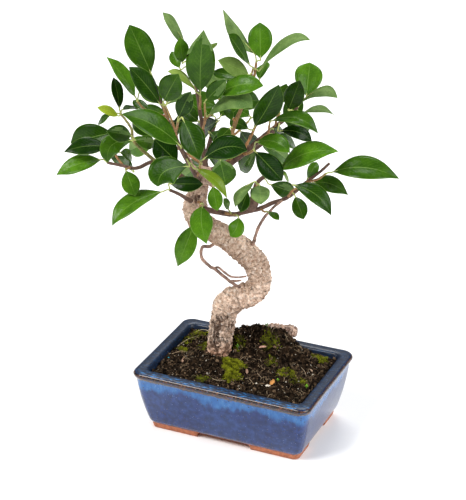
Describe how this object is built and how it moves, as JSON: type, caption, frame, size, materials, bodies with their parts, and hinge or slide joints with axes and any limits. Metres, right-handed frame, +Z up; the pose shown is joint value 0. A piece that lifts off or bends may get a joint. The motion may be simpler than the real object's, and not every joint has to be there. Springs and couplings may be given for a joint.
{
  "type": "bonsai tree in a pot",
  "caption": "Small-leaved fig bonsai with an S-curved trunk, aerial roots and a leafy crown, planted in soil with moss in a footed, glazed rectangular pot with drain screens.",
  "frame": {"origin": "middle of the part's bounding box in plan, at the underside of the feet", "axes": "+Z up, +X along the pot's long side, the pot's front towards -Y"},
  "size_m": [0.245, 0.1736, 0.3414],
  "materials": {
    "glazed_pot": "gloss blue glaze, bare terracotta feet",
    "screen": "matt",
    "soil": "rough, dark, fibrous",
    "moss": "soft, matt",
    "bark": "rough grey-beige bark",
    "thin_root": "rough brown bark",
    "leafy_shoot": "glossy dark green leaves on brown twigs"
  },
  "bodies": {
    "root": {"aerial_root_left": "thin_root", "aerial_root_right": "thin_root", "branch_back": "leafy_shoot", "branch_back_right": "leafy_shoot", "branch_front": "leafy_shoot", "branch_left": "leafy_shoot", "branch_left_low": "leafy_shoot", "branch_left_up": "leafy_shoot", "branch_right_far": "leafy_shoot", "branch_right_low": "leafy_shoot", "branch_right_mid": "leafy_shoot", "branch_top_left": "leafy_shoot", "branch_top_mid": "leafy_shoot", "branch_top_right": "leafy_shoot", "drain_screen_left": "screen", "drain_screen_right": "screen", "leader": "leafy_shoot", "moss_back_left": "moss", "moss_corner": "moss", "moss_front": "moss", "moss_left": "moss", "moss_right": "moss", "pot": "glazed_pot", "root_stub": "bark", "soil": "soil", "trunk": "bark", "twig_back_left": "leafy_shoot", "twig_back_mid": "leafy_shoot", "twig_back_top": "leafy_shoot", "twig_back_up_left": "leafy_shoot", "twig_far_low": "leafy_shoot", "twig_far_up": "leafy_shoot", "twig_front_mid": "leafy_shoot", "twig_leader_low": "leafy_shoot", "twig_left_down": "leafy_shoot", "twig_left_far": "leafy_shoot", "twig_left_front": "leafy_shoot", "twig_left_inner": "leafy_shoot", "twig_left_mid": "leafy_shoot", "twig_left_top": "leafy_shoot", "twig_left_top_front": "leafy_shoot", "twig_lump": "leafy_shoot", "twig_mid_front": "leafy_shoot", "twig_mid_right": "leafy_shoot", "twig_right_drop": "leafy_shoot", "twig_right_hang": "leafy_shoot", "twig_right_inner": "leafy_shoot", "twig_right_leaf": "leafy_shoot", "twig_right_low": "leafy_shoot", "twig_right_tip": "leafy_shoot", "twig_right_up": "leafy_shoot", "twig_top_right": "leafy_shoot", "twig_trunk_front": "leafy_shoot", "twig_trunk_right": "leafy_shoot", "twig_trunk_top": "leafy_shoot"}
  },
  "joints": []
}
